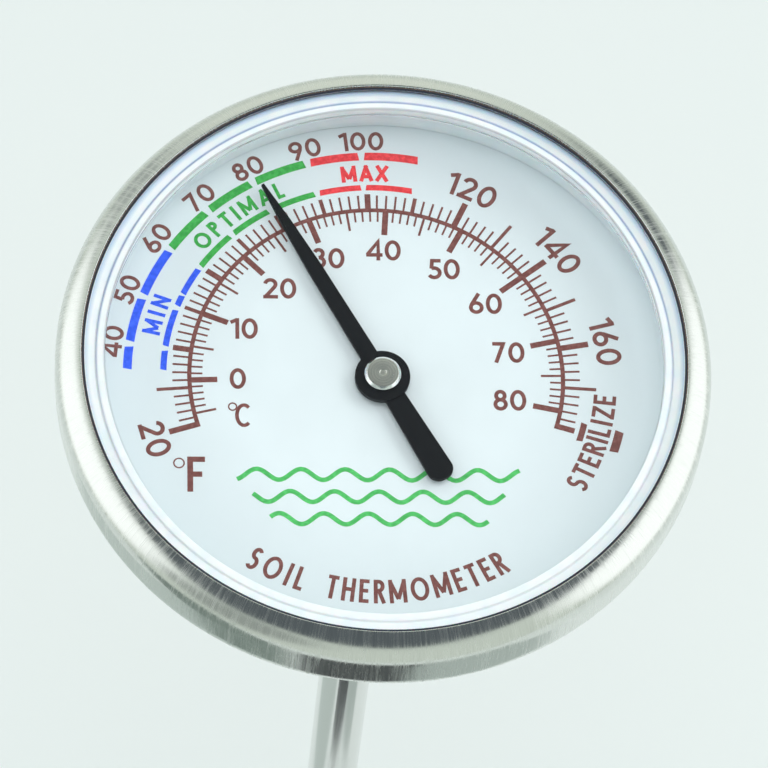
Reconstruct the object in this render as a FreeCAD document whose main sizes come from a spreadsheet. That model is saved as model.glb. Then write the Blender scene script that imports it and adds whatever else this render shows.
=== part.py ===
import FreeCAD, Part
import math
import os
import re

import Sketcher

# Soil thermometer probe: a round dial head on a thin pointed stem.
#
# Millimetres. The point of the stem is the origin and +Z runs up the stem to the dial, which faces +Z with
# its twelve o'clock towards +Y. Three bodies turn about that one axis: the stem, the head, which is turned
# on the stem to recalibrate it, and the pointer, which the bimetal coil turns.

SHEET = "Dims"

# Driving dimensions, one spreadsheet cell each.
DIMENSIONS = {
    # stem
    "probe_length": 152.0,       # point to the back of the head
    "stem_od": 4.0,
    "stem_id": 3.3,
    "shank_od": 3.64,            # tube's upper end, turned down for the nut
    "point_length": 5.0,         # cone of the welded tip
    "point_flat": 0.3,           # blunt end of the cone, radius
    "spigot_length": 3.0,        # tip's plug inside the tube
    # coil and spindle
    "spindle_diameter": 0.8,
    "spindle_play": 0.03,        # radial clearance of the spindle in its guides
    "coil_radius": 1.25,         # mean radius of the helix
    "strip_thickness": 0.15,
    "strip_width": 1.5,
    "coil_pitch": 1.9,
    "coil_height": 38.0,
    "anchor_height": 2.0,        # disc of the anchor, below its boss
    "anchor_boss": 1.8,          # height of the boss that the first turn is welded round
    "arbor_radius": 1.1,
    "arbor_height": 2.2,
    "bush_length": 3.0,
    "middle_guide": 100.0,       # height of the middle bush above the point
    # nut, collar and seal under the head
    "nut_across_flats": 9.5,
    "nut_height": 4.5,
    "nut_chamfer": 0.5,
    "nut_gap": 0.06,             # nut's shoulder to the back of the head
    "braze_gap": 0.01,           # nut's bore to the tube
    "bore_chamfer": 0.5,
    "neck_diameter": 7.0,
    "neck_play": 0.05,
    "seal_radius": 3.96,         # middle of the ring's cord
    "seal_cord": 0.8,
    "collar_od": 10.0,
    "collar_thickness": 0.4,
    "washer_od": 13.0,
    "washer_thickness": 0.2,
    # head
    "head_diameter": 46.0,
    "sheet": 0.5,                # stainless sheet of the cup and the ring
    "lip_bend": 2.3,             # outside radii of the ring's rolled edges: over the crystal, under the cup
    "heel_bend": 3.1,
    "head_depth": 7.3,           # back to the top of the lip
    "lip_radius": 21.2,          # edge of the lip
    "cup_play": 0.03,            # cup's wall to the ring
    "cup_wall_height": 5.2,      # back to the cup's rim
    "step_inner": 18.6,          # drawn step in the cup's floor
    "step_outer": 19.3,
    "gasket_height": 0.5,
    # dial
    "dial_height": 1.9,          # back of the head to the printed face
    "dial_thickness": 0.4,
    "dial_radius": 21.0,
    "dial_hole": 1.5,            # radius
    "spacer_inner": 15.4,
    "spacer_outer": 18.2,
    # crystal, heights above the printed face
    "window_radius": 19.85,
    "window_top": 4.55,
    "window_bottom": 3.05,
    "groove_radius": 20.15,      # bottom of the shallow groove round the window
    "groove_depth": 0.1,
    "shoulder_radius": 20.75,
    "shoulder_top": 4.8,
    "crystal_radius": 22.2,
    "skirt_top_radius": 19.6,
    "skirt_foot_radius": 20.5,
    "skirt_outer": 21.4,
    # pointer, heights above the printed face
    "pointer_bottom": 0.6,
    "pointer_thickness": 0.3,
    "boss_radius": 1.95,
    "hub_radius": 1.36,
    "hub_top": 1.55,
    "hub_chamfer": 0.18,
    "hub_sleeve": 0.9,           # radius of the sleeve in the pointer's hole
    "blade_length": 17.33,
    "blade_root": 1.28,          # full widths along the blade
    "blade_middle": 1.07,
    "blade_fore": 0.73,
    "blade_tip": 0.2,
    "tail_length": 8.93,
    "tail_root": 1.45,
    "tail_end": 1.88,
    "tail_corner": 0.8,
    "reading_angle": 28.56,      # pointer at rest, anticlockwise from twelve o'clock
}

# Sizes that follow from the driving dimensions, as expressions in the same words.
DERIVED = {
    "tube_top": "probe_length + dial_height - dial_thickness - 0.05",
    "nut_shoulder": "probe_length - nut_gap",
    "nut_base": "nut_shoulder - nut_height",
    "anchor_base": "point_length + spigot_length",
    "coil_base": "anchor_base + anchor_height + 0.1",
    "coil_top": "coil_base + coil_height + strip_width",
    "dial_face": "probe_length + dial_height",
    "collar_base": "tube_top - collar_thickness",
    "lip_centre": "head_diameter / 2 - lip_bend",
    "lip_height": "probe_length + head_depth - lip_bend",
    "heel_centre": "head_diameter / 2 - heel_bend",
    "heel_height": "probe_length + heel_bend",
    "cup_outer": "head_diameter / 2 - sheet - cup_play",
    "cup_bend": "heel_bend - sheet - cup_play",
    "cup_floor": "heel_height - cup_bend",
    "crystal_bend": "lip_bend - sheet - 0.05",
    "flange_base": "probe_length + cup_wall_height + gasket_height",
}


def spelled_out(text):
    """Turn words such as stem_od into references to the sheet's cells."""
    def replace(match):
        word = match.group(0)
        if word in DERIVED:
            return "(" + spelled_out(DERIVED[word]) + ")"
        if word in DIMENSIONS:
            return SHEET + "." + word
        return word
    return re.sub(r"[a-z]\w*", replace, text)


def make_sheet(doc):
    sheet = doc.addObject("Spreadsheet::Sheet", SHEET)
    for row, (alias, number) in enumerate(DIMENSIONS.items(), start=1):
        sheet.set(f"A{row}", alias)
        sheet.set(f"B{row}", str(number))
        sheet.setAlias(f"B{row}", alias)
    doc.recompute()
    return sheet


def amount(doc, text):
    """The present value of an expression in the sheet's words."""
    result = doc.getObject(SHEET).evalExpression(spelled_out(text))
    return float(getattr(result, "Value", result))


def bind(feature, **properties):
    """Bind the feature's properties to expressions in the sheet's words."""
    for name, text in properties.items():
        feature.setExpression(name, spelled_out(text))


def lift(feature, height):
    """Stand the feature at a height above the stem's point."""
    feature.setExpression("Placement.Base.z", spelled_out(height))


# ---------------------------------------------------------------- sketches

def new_sketch(body, plane_role, name):
    plane = next(item for item in body.Origin.OriginFeatures if item.Role == plane_role)
    sketch = body.newObject("Sketcher::SketchObject", name)
    sketch.AttachmentSupport = [(plane, "")]
    sketch.MapMode = "FlatFace"
    return sketch


def arc_between(start, end, radius, side):
    """Arc from start to end whose centre lies to the left (side 1) or right (side -1) of the way there."""
    chord = end - start
    left = FreeCAD.Vector(-chord.y, chord.x, 0).normalize()
    rise = math.sqrt(max(radius ** 2 - (chord.Length / 2) ** 2, 0.0))
    centre = (start + end) * 0.5 + left * (rise * side)
    first, last = (start, end) if side > 0 else (end, start)
    angles = [math.atan2(point.y - centre.y, point.x - centre.x) for point in (first, last)]
    circle = Part.Circle(centre, FreeCAD.Vector(0, 0, 1), radius)
    return Part.ArcOfCircle(circle, *angles)


def draw_outline(doc, sketch, corners):
    """Draw a closed outline, every corner bound to its two expressions.

    A corner is (x, y), or (x, y, radius, side) where an arc leads to the next corner.
    """
    count = len(corners)
    places = [FreeCAD.Vector(amount(doc, corner[0]), amount(doc, corner[1]), 0) for corner in corners]
    ends = []
    for index, corner in enumerate(corners):
        start, end = places[index], places[(index + 1) % count]
        if len(corner) == 2:
            sketch.addGeometry(Part.LineSegment(start, end), False)
            ends.append((1, 2))
            continue
        radius, side = corner[2], corner[3]
        sketch.addGeometry(arc_between(start, end, amount(doc, radius), side), False)
        ends.append((1, 2) if side > 0 else (2, 1))
    for index in range(count):
        following = (index + 1) % count
        sketch.addConstraint(
            Sketcher.Constraint("Coincident", index, ends[index][1], following, ends[following][0]))
    for index, corner in enumerate(corners):
        where = places[index]
        for kind, axis, text, number in (("DistanceX", -2, corner[0], where.x),
                                         ("DistanceY", -1, corner[1], where.y)):
            if text == "0":
                sketch.addConstraint(Sketcher.Constraint("PointOnObject", index, ends[index][0], axis))
                continue
            place = sketch.addConstraint(Sketcher.Constraint(kind, index, ends[index][0], number))
            sketch.setExpression(f"Constraints[{place}]", spelled_out(text))
        if len(corner) == 4:
            place = sketch.addConstraint(Sketcher.Constraint("Radius", index, amount(doc, corner[2])))
            sketch.setExpression(f"Constraints[{place}]", spelled_out(corner[2]))


def draw_circle(doc, sketch, radius):
    sketch.addGeometry(Part.Circle(FreeCAD.Vector(), FreeCAD.Vector(0, 0, 1), amount(doc, radius)), False)
    sketch.addConstraint(Sketcher.Constraint("Coincident", 0, 3, -1, 1))
    place = sketch.addConstraint(Sketcher.Constraint("Radius", 0, amount(doc, radius)))
    sketch.setExpression(f"Constraints[{place}]", spelled_out(radius))


def turned(doc, label, corners):
    """A body of revolution about Z, from the outline of half its section: radius, then height."""
    body = doc.addObject("PartDesign::Body", label)
    body.Label = label
    sketch = new_sketch(body, "XZ_Plane", label + "_section")
    draw_outline(doc, sketch, corners)
    turning = body.newObject("PartDesign::Revolution", label + "_turning")
    turning.Profile = sketch
    turning.ReferenceAxis = (sketch, ["V_Axis"])
    turning.Angle = 360
    return body


def sleeve(doc, label, inner, outer, base, top):
    """A plain tube or ring."""
    return turned(doc, label, [(inner, base), (outer, base), (outer, top), (inner, top)])


# ---------------------------------------------------------------- stem

def make_stem_tube(doc):
    """Drawn tube with a shoulder that the nut stands on."""
    return turned(doc, "stem_tube", [
        ("stem_id / 2", "point_length"),
        ("stem_od / 2", "point_length"),
        ("stem_od / 2", "nut_base"),
        ("shank_od / 2", "nut_base"),
        ("shank_od / 2", "tube_top"),
        ("stem_id / 2", "tube_top"),
    ])


def make_stem_tip(doc):
    """Pointed plug, welded into the tube by its spigot."""
    return turned(doc, "stem_tip", [
        ("0", "0"),
        ("point_flat", "0"),
        ("stem_od / 2", "point_length"),
        ("stem_id / 2", "point_length"),
        ("stem_id / 2", "point_length + spigot_length"),
        ("0", "point_length + spigot_length"),
    ])


def make_coil_anchor(doc):
    """Plug in the tube; the coil's first turn is welded round its boss."""
    boss = "coil_radius - strip_thickness / 2"
    return turned(doc, "coil_anchor", [
        ("0", "anchor_base"),
        ("stem_id / 2", "anchor_base"),
        ("stem_id / 2", "anchor_base + anchor_height"),
        (boss, "anchor_base + anchor_height"),
        (boss, "anchor_base + anchor_height + anchor_boss"),
        ("0", "anchor_base + anchor_height + anchor_boss"),
    ])


def make_bimetal_coil(doc):
    """Flat strip wound edge up on a helix."""
    body = doc.addObject("PartDesign::Body", "bimetal_coil")
    body.Label = "bimetal_coil"
    sketch = new_sketch(body, "XZ_Plane", "strip_section")
    inner = "coil_radius - strip_thickness / 2"
    outer = "coil_radius + strip_thickness / 2"
    draw_outline(doc, sketch, [
        (inner, "coil_base"),
        (outer, "coil_base"),
        (outer, "coil_base + strip_width"),
        (inner, "coil_base + strip_width"),
    ])
    helix = body.newObject("PartDesign::AdditiveHelix", "winding")
    helix.Profile = sketch
    helix.ReferenceAxis = (sketch, ["V_Axis"])
    helix.Mode = "pitch-height-angle"
    bind(helix, Pitch="coil_pitch", Height="coil_height")
    return body


def make_bush(doc, label, base):
    """Guide for the spindle, pressed into the tube."""
    bore = "spindle_diameter / 2 + spindle_play"
    return sleeve(doc, label, bore, "stem_id / 2", base, f"{base} + bush_length")


def make_calibration_nut(doc):
    """Hexagon with a neck, brazed on the tube: held by a wrench while the head is turned."""
    bore = "shank_od / 2 + braze_gap"
    corner = "nut_across_flats / sqrt(3)"
    groove_inner = "seal_radius - seal_cord / 2"
    groove_outer = "seal_radius + seal_cord / 2"
    blank = turned(doc, "nut_blank", [
        (bore, "nut_base + bore_chamfer"),
        (f"{bore} + bore_chamfer", "nut_base"),
        (f"{corner} - nut_chamfer", "nut_base"),
        (corner, "nut_base + nut_chamfer / 2"),
        (corner, "nut_shoulder - nut_chamfer / 2"),
        (f"{corner} - nut_chamfer", "nut_shoulder"),
        (groove_outer, "nut_shoulder"),
        (groove_outer, "nut_shoulder - seal_cord"),
        (groove_inner, "nut_shoulder - seal_cord"),
        (groove_inner, "nut_shoulder"),
        ("neck_diameter / 2", "nut_shoulder"),
        ("neck_diameter / 2", "tube_top"),
        (bore, "tube_top"),
    ])
    hexagon = doc.addObject("Part::Prism", "nut_hexagon")
    hexagon.Polygon = 6
    bind(hexagon, Circumradius=corner, Height="nut_height")
    lift(hexagon, "nut_base")
    neck = doc.addObject("Part::Cylinder", "nut_neck")
    bind(neck, Radius="neck_diameter / 2", Height="tube_top - nut_base")
    lift(neck, "nut_base")
    envelope = doc.addObject("Part::Fuse", "nut_envelope")
    envelope.Base = hexagon
    envelope.Tool = neck
    nut = doc.addObject("Part::Common", "calibration_nut")
    nut.Base = blank
    nut.Tool = envelope
    nut.Label = "calibration_nut"
    return nut


def make_retaining_collar(doc):
    return sleeve(doc, "retaining_collar", "neck_diameter / 2", "collar_od / 2", "collar_base", "tube_top")


def make_neck_seal(doc):
    """Rubber ring in the groove of the nut's shoulder."""
    seal = doc.addObject("Part::Torus", "neck_seal")
    seal.Label = "neck_seal"
    bind(seal, Radius1="seal_radius", Radius2="seal_cord / 2 - 0.01")
    lift(seal, "nut_shoulder - seal_cord / 2")
    return seal


# ---------------------------------------------------------------- head

def make_case_cup(doc):
    """Drawn cup: a floor stepped down inside the rolled edge, a rounded corner and a wall."""
    wall_inner = "cup_outer - sheet"
    return turned(doc, "case_cup", [
        ("neck_diameter / 2 + neck_play", "probe_length"),
        ("step_inner", "probe_length"),
        ("step_outer", "cup_floor"),
        ("cup_outer - cup_bend", "cup_floor", "cup_bend", 1),
        ("cup_outer", "heel_height"),
        ("cup_outer", "probe_length + cup_wall_height"),
        (wall_inner, "probe_length + cup_wall_height"),
        (wall_inner, "heel_height", "cup_bend - sheet", -1),
        ("cup_outer - cup_bend", "cup_floor + sheet"),
        ("step_outer - sheet / 4", "cup_floor + sheet"),
        ("step_inner - sheet / 4", "probe_length + sheet"),
        ("neck_diameter / 2 + neck_play", "probe_length + sheet"),
    ])


def make_bezel_ring(doc):
    """Rolled ring: a rounded lip over the crystal, a wall, and a hem rolled under the cup's corner."""
    outside = "head_diameter / 2"
    inside = "head_diameter / 2 - sheet"
    reach = "(lip_radius - lip_centre)"
    return turned(doc, "bezel_ring", [
        ("heel_centre", "probe_length", "heel_bend", 1),
        (outside, "heel_height"),
        (outside, "lip_height", "lip_bend", 1),
        ("lip_radius", f"lip_height + sqrt(lip_bend ^ 2 - {reach} ^ 2)"),
        ("lip_radius", f"lip_height + sqrt((lip_bend - sheet) ^ 2 - {reach} ^ 2)", "lip_bend - sheet", -1),
        (inside, "lip_height"),
        (inside, "heel_height", "heel_bend - sheet", -1),
        ("heel_centre", "probe_length + sheet"),
    ])


def make_crystal(doc):
    """Moulded window: a flat field, a groove round it, a shoulder under the lip, and a skirt to the dial."""
    reach = "(crystal_radius - lip_centre)"
    shoulder = "dial_face + shoulder_top"
    rise = f"({shoulder} - (lip_height))"
    return turned(doc, "crystal", [
        ("0", "dial_face + window_bottom"),
        ("skirt_top_radius", "dial_face + window_bottom"),
        ("skirt_foot_radius", "dial_face"),
        ("skirt_outer", "dial_face"),
        ("skirt_outer", "flange_base"),
        ("crystal_radius", "flange_base"),
        ("crystal_radius", f"lip_height + sqrt(crystal_bend ^ 2 - {reach} ^ 2)", "crystal_bend", 1),
        (f"lip_centre + sqrt(crystal_bend ^ 2 - {rise} ^ 2)", shoulder),
        ("shoulder_radius", shoulder),
        ("groove_radius", "dial_face + window_top - groove_depth"),
        ("window_radius", "dial_face + window_top"),
        ("0", "dial_face + window_top"),
    ])


def make_crystal_gasket(doc):
    rim = "probe_length + cup_wall_height"
    return sleeve(doc, "crystal_gasket", "skirt_outer + 0.02", "crystal_radius", rim, "flange_base")


def make_dial_plate(doc):
    return sleeve(doc, "dial_plate", "dial_hole", "dial_radius", "dial_face - dial_thickness", "dial_face")


def make_dial_spacer(doc):
    return sleeve(doc, "dial_spacer", "spacer_inner", "spacer_outer",
                  "probe_length + sheet", "dial_face - dial_thickness")


def make_friction_washer(doc):
    """Cone washer: its outer edge stands on the cup's floor and its inner edge rises to the collar."""
    floor = "probe_length + sheet"
    inner = "neck_diameter / 2 + neck_play"
    crown = "collar_base - 0.03"
    return turned(doc, "friction_washer", [
        (inner, f"{crown} - washer_thickness"),
        ("washer_od / 2", floor),
        ("washer_od / 2", f"{floor} + washer_thickness"),
        (inner, crown),
    ])


# ---------------------------------------------------------------- pointer

def make_pointer(doc):
    """Flat blade, round boss and counterweight tail; drawn towards +Y and turned to the reading."""
    body = doc.addObject("PartDesign::Body", "pointer")
    body.Label = "pointer"
    outline = new_sketch(body, "XY_Plane", "pointer_outline")
    right_side = [
        ("tail_end / 2 - tail_corner", "-tail_length", "tail_corner", 1),
        ("tail_end / 2", "tail_corner - tail_length"),
        ("tail_root / 2", "-boss_radius / 2"),
        ("blade_root / 2", "boss_radius / 2"),
        ("blade_middle / 2", "blade_length * 0.565"),
        ("blade_fore / 2", "blade_length * 0.802"),
        ("blade_tip / 2", "blade_length"),
    ]
    left_side = [("-(" + corner[0] + ")", corner[1]) for corner in reversed(right_side)]
    left_side[-2] = left_side[-2] + ("tail_corner", 1)
    draw_outline(doc, outline, right_side + left_side)
    blade = body.newObject("PartDesign::Pad", "pointer_blade")
    blade.Profile = outline
    bind(blade, Length="pointer_thickness")
    ring = new_sketch(body, "XY_Plane", "boss_outline")
    draw_circle(doc, ring, "boss_radius")
    boss = body.newObject("PartDesign::Pad", "pointer_boss")
    boss.Profile = ring
    bind(boss, Length="pointer_thickness + 0.1")
    bore = new_sketch(body, "XY_Plane", "hub_hole_outline")
    draw_circle(doc, bore, "hub_sleeve")
    hole = body.newObject("PartDesign::Pocket", "hub_hole")
    hole.Profile = bore
    hole.Type = "ThroughAll"
    hole.Reversed = True
    lift(body, "dial_face + pointer_bottom")
    body.setExpression("Placement.Rotation.Angle", spelled_out("reading_angle"))
    return body


def make_pointer_hub(doc):
    """Turned cap that presses the pointer on the spindle."""
    seat = "dial_face + pointer_bottom + pointer_thickness + 0.1"
    crown = "dial_face + hub_top"
    spindle = "spindle_diameter / 2"
    foot = "dial_face + pointer_bottom - 0.2"
    roof = "dial_face + hub_top - 0.25"
    return turned(doc, "pointer_hub", [
        (spindle, foot),
        ("hub_sleeve", foot),
        ("hub_sleeve", seat),
        ("hub_radius", seat),
        ("hub_radius", f"{crown} - hub_chamfer"),
        ("hub_radius - hub_chamfer", crown),
        ("0", crown),
        ("0", roof),
        (spindle, roof),
    ])


def make_spindle(doc):
    spindle = doc.addObject("Part::Cylinder", "spindle")
    spindle.Label = "spindle"
    foot = "coil_top - arbor_height - 1"
    bind(spindle, Radius="spindle_diameter / 2", Height=f"dial_face + hub_top - 0.25 - ({foot})")
    lift(spindle, foot)
    return spindle


def make_coil_arbor(doc):
    """Sleeve on the spindle; the coil's last turn is welded round it."""
    return sleeve(doc, "coil_arbor", "spindle_diameter / 2", "arbor_radius",
                  "coil_top - arbor_height", "coil_top")


# ---------------------------------------------------------------- whole

def make_pieces(doc):
    """Every piece of the thermometer."""
    return [
        make_stem_tube(doc),
        make_stem_tip(doc),
        make_coil_anchor(doc),
        make_bimetal_coil(doc),
        make_bush(doc, "lower_bush", "coil_top + 1"),
        make_bush(doc, "middle_bush", "middle_guide"),
        make_bush(doc, "upper_bush", "tube_top - bush_length"),
        make_calibration_nut(doc),
        make_retaining_collar(doc),
        make_neck_seal(doc),
        make_case_cup(doc),
        make_bezel_ring(doc),
        make_crystal(doc),
        make_crystal_gasket(doc),
        make_dial_plate(doc),
        make_dial_spacer(doc),
        make_friction_washer(doc),
        make_pointer(doc),
        make_pointer_hub(doc),
        make_spindle(doc),
        make_coil_arbor(doc),
    ]


def check(doc, pieces):
    """Stop if any object failed or any piece isn't one or more valid solids."""
    for item in doc.Objects:
        failed = {"Invalid", "Error"} & set(item.State)
        if failed:
            raise RuntimeError(f"{item.Name}: {item.State}")
    for piece in pieces:
        shape = piece.Shape
        if shape.isNull() or not shape.isValid() or not shape.Solids:
            raise RuntimeError(f"{piece.Label}: no valid solid")


def main():
    doc = FreeCAD.newDocument("soil_thermometer")
    make_sheet(doc)
    pieces = make_pieces(doc)
    doc.recompute()
    check(doc, pieces)
    os.makedirs("parts", exist_ok=True)
    for piece in pieces:
        piece.Shape.exportStep(f"parts/{piece.Label}.step")
        box = piece.Shape.BoundBox
        print(f"{piece.Label:18s} volume {piece.Shape.Volume:9.3f}  z {box.ZMin:8.3f} {box.ZMax:8.3f}"
              f"  x {box.XMin:7.2f} {box.XMax:7.2f}")


main()
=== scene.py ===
import math
from collections import namedtuple

import bpy
from mathutils import Matrix, Vector


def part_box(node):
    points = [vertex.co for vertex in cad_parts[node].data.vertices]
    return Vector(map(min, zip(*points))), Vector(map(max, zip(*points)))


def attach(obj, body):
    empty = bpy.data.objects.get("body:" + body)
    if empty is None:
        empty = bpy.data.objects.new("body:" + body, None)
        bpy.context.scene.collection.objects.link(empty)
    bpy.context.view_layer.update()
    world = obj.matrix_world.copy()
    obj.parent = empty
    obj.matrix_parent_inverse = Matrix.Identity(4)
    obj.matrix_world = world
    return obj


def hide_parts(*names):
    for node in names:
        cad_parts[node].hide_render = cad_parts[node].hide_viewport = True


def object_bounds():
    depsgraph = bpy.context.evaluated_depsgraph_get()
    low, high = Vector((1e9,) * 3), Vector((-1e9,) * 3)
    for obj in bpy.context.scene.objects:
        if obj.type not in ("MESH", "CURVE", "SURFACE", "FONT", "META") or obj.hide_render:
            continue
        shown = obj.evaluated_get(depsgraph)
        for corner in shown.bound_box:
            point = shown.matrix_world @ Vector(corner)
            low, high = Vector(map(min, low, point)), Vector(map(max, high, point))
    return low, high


# A soil thermometer probe: the looks of a dial head on a thin stem. Outlines and prints are worked out in
# millimetres and turned into metres when a mesh is made. Angles of the dial run clockwise from twelve.

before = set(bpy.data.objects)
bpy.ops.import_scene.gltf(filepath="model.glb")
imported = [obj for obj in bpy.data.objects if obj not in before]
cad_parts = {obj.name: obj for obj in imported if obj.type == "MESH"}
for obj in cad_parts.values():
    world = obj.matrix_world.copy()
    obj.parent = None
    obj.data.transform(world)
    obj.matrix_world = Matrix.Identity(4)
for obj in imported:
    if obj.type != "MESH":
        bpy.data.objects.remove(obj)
CAD_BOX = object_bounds()
MM = 0.001


def millimetres(node):
    """Lowest and highest corner of a CAD node, in millimetres."""
    low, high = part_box(node)
    return low / MM, high / MM


RING_LOW, RING_HIGH = millimetres("bezel_ring")
FACE = millimetres("dial_plate")[1].z   # height of the printed face
BACK = RING_LOW.z               # height of the head's back
RIM = RING_HIGH.x               # outside radius of the head
LIP = 21.2                      # radius of the lip's edge
GROOVE = 20.14                  # radius of the window's groove, and of the edge of its flat field
FIELD = 19.58

# ---------------------------------------------------------------- node graphs


class Graph:
    """A material's node tree, with short ways to add and join nodes."""

    def __init__(self, name):
        self.material = bpy.data.materials.new(name)
        self.material.use_nodes = True
        self.tree = self.material.node_tree
        self.tree.nodes.clear()
        self.output = self.add("ShaderNodeOutputMaterial")
        self.place = self.add("ShaderNodeTexCoord").outputs["Object"]

    def add(self, kind, **settings):
        node = self.tree.nodes.new(kind)
        for key, value in settings.items():
            setattr(node, key, value)
        return node

    def feed(self, socket, source):
        """Join an output to the socket, or set the socket to a plain value."""
        if isinstance(source, bpy.types.NodeSocket):
            self.tree.links.new(source, socket)
        else:
            socket.default_value = source

    def place_mm(self):
        """Place on the piece in millimetres."""
        return self.scaled(self.place, 1 / MM)

    def math(self, operation, *sources):
        node = self.add("ShaderNodeMath", operation=operation)
        for socket, source in zip(node.inputs, sources):
            self.feed(socket, source)
        return node.outputs[0]

    def vector(self, x, y, z):
        node = self.add("ShaderNodeCombineXYZ")
        for socket, source in zip(node.inputs, (x, y, z)):
            self.feed(socket, source)
        return node.outputs[0]

    def scaled(self, source, factor):
        node = self.add("ShaderNodeVectorMath", operation="SCALE")
        self.feed(node.inputs[0], source)
        self.feed(node.inputs["Scale"], factor)
        return node.outputs[0]

    def noise(self, where, scale, detail=2.0, roughness=0.5):
        """Noise from 0 to 1; scale is in features per unit of where."""
        node = self.add("ShaderNodeTexNoise")
        for name, source in (("Vector", where), ("Scale", scale),
                             ("Detail", detail), ("Roughness", roughness)):
            self.feed(node.inputs[name], source)
        return node.outputs["Fac"]

    def span(self, value, low, high, to_low=0.0, to_high=1.0):
        """Map low..high to to_low..to_high, and hold it there."""
        node = self.add("ShaderNodeMapRange")
        for name, source in (("Value", value), ("From Min", low), ("From Max", high),
                             ("To Min", to_low), ("To Max", to_high)):
            self.feed(node.inputs[name], source)
        return node.outputs["Result"]

    def blend(self, factor, first, second):
        """A colour between two colours."""
        node = self.add("ShaderNodeMix", data_type="RGBA")
        self.feed(node.inputs["Factor"], factor)
        self.feed(node.inputs["A"], first)
        self.feed(node.inputs["B"], second)
        return node.outputs["Result"]

    def bump(self, height, depth):
        """Bump of a depth in millimetres."""
        node = self.add("ShaderNodeBump")
        self.feed(node.inputs["Height"], height)
        self.feed(node.inputs["Distance"], depth * MM)
        return node.outputs["Normal"]

    def polar(self):
        """Direction from the axis (x, y), distance from it in mm, and height in mm."""
        split = self.add("ShaderNodeSeparateXYZ")
        self.feed(split.inputs[0], self.place_mm())
        x, y, z = split.outputs
        squares = self.math("ADD", self.math("MULTIPLY", x, x), self.math("MULTIPLY", y, y))
        distance = self.math("SQRT", squares)
        held = self.math("MAXIMUM", distance, 1e-4)
        return self.math("DIVIDE", x, held), self.math("DIVIDE", y, held), distance, z

    def principled(self, **inputs):
        shader = self.add("ShaderNodeBsdfPrincipled")
        for name, source in inputs.items():
            self.feed(shader.inputs[name.replace("_", " ")], source)
        self.feed(self.output.inputs["Surface"], shader.outputs[0])
        return shader


def rgb(red, green, blue):
    """A colour given as it looks on screen, 0 to 255, as Blender wants it."""
    def linear(level):
        share = level / 255
        return share / 12.92 if share <= 0.04045 else ((share + 0.055) / 1.055) ** 2.4
    return (linear(red), linear(green), linear(blue), 1.0)


def shade(colour, factor):
    """The colour with its red, green and blue multiplied."""
    return tuple(factor * channel for channel in colour[:3]) + (1.0,)


# ---------------------------------------------------------------- materials

def brushed_steel(name, colour, streak=0.12, across=True):
    """Stainless sheet brushed across the rim, or round it for a spun or turned piece."""
    smoothest, roughest = 0.15, 0.39
    graph = Graph(name)
    x, y, distance, height = graph.polar()
    if across:
        along = graph.math("MULTIPLY", graph.math("SUBTRACT", height, distance), 0.035)
        where = graph.vector(graph.math("MULTIPLY", x, RIM), graph.math("MULTIPLY", y, RIM), along)
    else:
        where = graph.vector(graph.math("MULTIPLY", x, 0.8), graph.math("MULTIPLY", y, 0.8),
                             graph.math("ADD", height, distance))
    fine = graph.noise(where, 1 / streak, 3.0, 0.65)
    broad = graph.noise(where, 0.22 / streak, 2.0)
    handling = graph.noise(graph.place_mm(), 0.16, 3.0)
    streaks = graph.math("ADD", graph.math("MULTIPLY", fine, 0.65), graph.math("MULTIPLY", broad, 0.35))
    tone = graph.blend(graph.span(streaks, 0.32, 0.62), shade(colour, 0.88), colour)
    roughness = graph.math("ADD", graph.span(streaks, 0.42, 0.7, smoothest, roughest),
                           graph.span(handling, 0.45, 0.75, 0.0, 0.05))
    graph.principled(Base_Color=tone, Metallic=1.0, Roughness=roughness,
                     Normal=graph.bump(streaks, 0.003))
    return graph.material


def polished_steel(name, colour):
    """Drawn tube: nearly mirror, with faint lines along it and fine scuffs towards its point."""
    graph = Graph(name)
    x, y, _, height = graph.polar()
    where = graph.vector(graph.math("MULTIPLY", x, 2.0), graph.math("MULTIPLY", y, 2.0),
                         graph.math("MULTIPLY", height, 0.02))
    lines = graph.noise(where, 7.0, 2.0)
    scuffs = graph.noise(graph.place_mm(), 2.6, 4.0, 0.7)
    near_point, near_head = 10.0, 90.0
    wear_and_groove_shade = graph.span(height, near_point, near_head, 1.0, 0.15)
    scuffed = graph.math("MULTIPLY", graph.span(scuffs, 0.5, 0.7), wear_and_groove_shade)
    roughness = graph.math("ADD", graph.span(lines, 0.3, 0.7, 0.09, 0.15),
                           graph.math("MULTIPLY", scuffed, 0.18))
    relief = graph.math("ADD", graph.math("MULTIPLY", lines, 0.5), graph.math("MULTIPLY", scuffed, 0.5))
    tone = graph.blend(scuffed, colour, shade(colour, 0.8))
    graph.principled(Base_Color=tone, Metallic=1.0, Roughness=roughness, Normal=graph.bump(relief, 0.0015))
    return graph.material


def enamel(name, colour):
    """Smooth printed-dial enamel: a faint orange peel, the least mottling, and painted shade at its edge."""
    graph = Graph(name)
    where = graph.place_mm()
    mottle = graph.noise(where, 0.25, 2.0)
    peel = graph.noise(where, 2.2, 2.0)
    _, _, distance, _ = graph.polar()
    tone = graph.blend(graph.span(mottle, 0.35, 0.65), shade(colour, 0.965), colour)
    # Painted shade: the face greys towards its edge, in place of the shadow the rim and window cast on it.
    painted_shade_starts, painted_shade_ends = 10.0, 18.0
    painted_rim_shade = graph.span(distance, painted_shade_starts, painted_shade_ends)
    graph.principled(Base_Color=graph.blend(painted_rim_shade, tone, shade(colour, 0.88)),
                     Roughness=graph.span(peel, 0.3, 0.7, 0.34, 0.42), Normal=graph.bump(peel, 0.0012))
    return graph.material


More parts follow.
